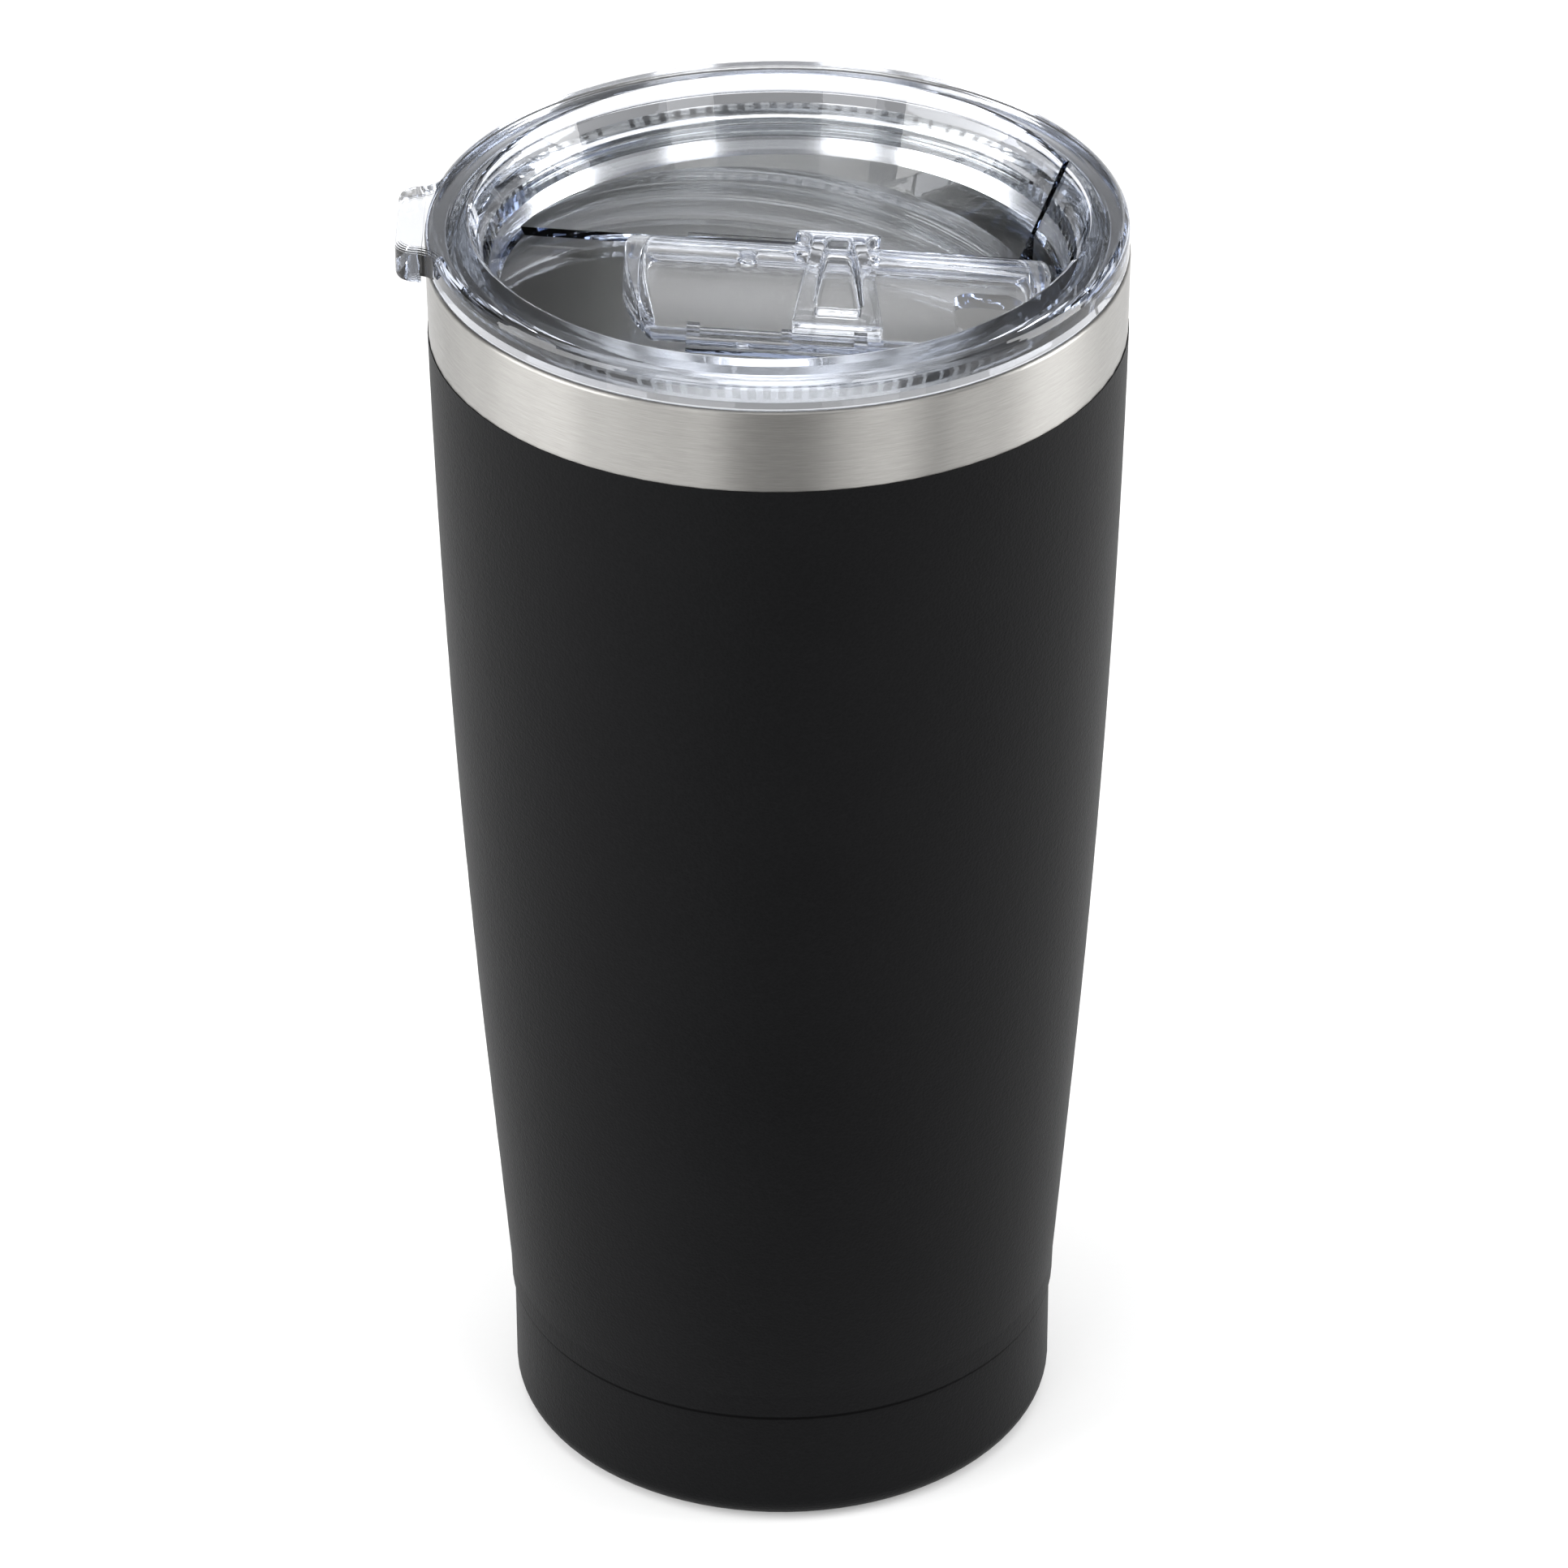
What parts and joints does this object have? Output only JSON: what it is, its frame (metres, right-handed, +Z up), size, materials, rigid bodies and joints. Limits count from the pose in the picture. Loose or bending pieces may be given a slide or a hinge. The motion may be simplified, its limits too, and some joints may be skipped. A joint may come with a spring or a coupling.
{
  "type": "insulated tumbler with lid",
  "caption": "Tapered double-wall steel tumbler with a powder-coated body, bare steel rim band, clear press-in lid with pull tab and a sliding drink closure.",
  "frame": {"origin": "middle of the foot ring, on the surface the tumbler stands on", "axes": "+Z up along the body's axis, +X towards the drink hole, -X towards the lid's pull tab, front faces -Y"},
  "size_m": [0.0903, 0.087, 0.1744],
  "materials": {
    "brushed_band": "fine brushing round the rim",
    "black_coat": "matte powder coat with a fine grain",
    "base_steel": "satin",
    "liner_steel": "electropolished",
    "copper": "bright foil",
    "getter_powder": "sintered powder",
    "seal_glass": "fused bead",
    "disc_steel": "brushed",
    "clear_plastic": "clear, polished",
    "silicone": "translucent, matte"
  },
  "bodies": {
    "body": {"outer_shell": "brushed_band", "powder_coat": "black_coat", "base_cup": "base_steel", "inner_liner": "liner_steel", "liner_bottom": "liner_steel", "copper_wrap": "copper", "getter": "getter_powder", "getter_clip": "base_steel", "evac_seal": "seal_glass", "bottom_disc": "disc_steel"},
    "lid": {"lid_body": "clear_plastic", "lid_gasket": "silicone"},
    "slide": {"slide": "clear_plastic"}
  },
  "joints": [
    {"name": "lid_lift", "type": "slide", "parent": "body", "child": "lid", "axis": [0, 0, 1], "range_m": [0, 0.05]},
    {"name": "slide_travel", "type": "slide", "parent": "lid", "child": "slide", "axis": [-0.9971, 0, 0.0767], "range_m": [0, 0.0136]}
  ]
}
